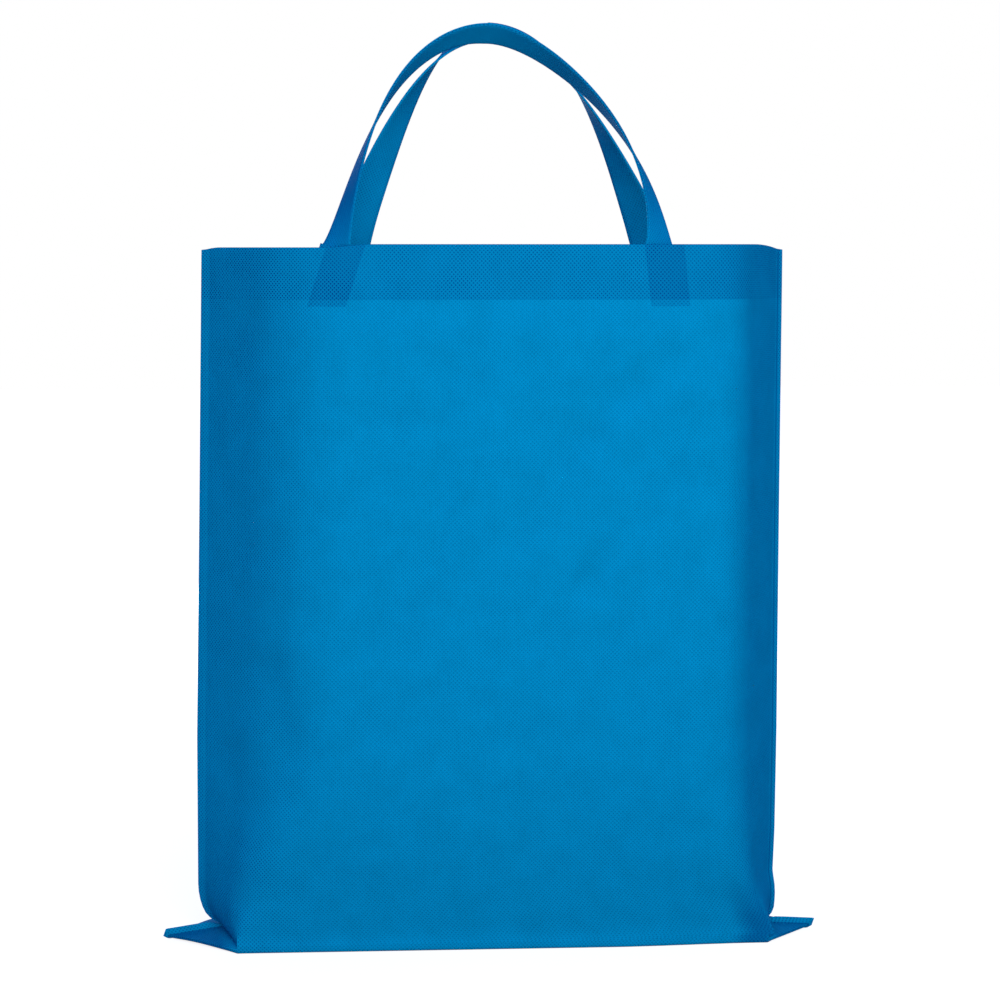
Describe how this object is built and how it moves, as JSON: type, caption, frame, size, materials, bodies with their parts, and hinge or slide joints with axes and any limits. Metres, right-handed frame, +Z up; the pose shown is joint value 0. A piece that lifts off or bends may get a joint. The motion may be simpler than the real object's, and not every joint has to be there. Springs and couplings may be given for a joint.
{
  "type": "non-woven carrier bag",
  "caption": "Open carrier bag of non-woven sheet with a folded-out base, outside side seams, a hemmed mouth and twisted strap handles.",
  "frame": {"origin": "middle of the base, on the floor that the bag stands on", "axes": "+Z up from the base to the handles, +X along the base from one side seam to the other, -Y out of the front panel, +Y the shortest way through the bag"},
  "size_m": [0.38, 0.0998, 0.5323],
  "materials": {
    "bag_cloth": "matt spunbond cloth with a fine embossed lattice",
    "strap_cloth": "matt spunbond cloth folded in several plies"
  },
  "bodies": {
    "root": {"bag_body": "bag_cloth", "front_handle": "strap_cloth", "back_handle": "strap_cloth"}
  },
  "joints": []
}
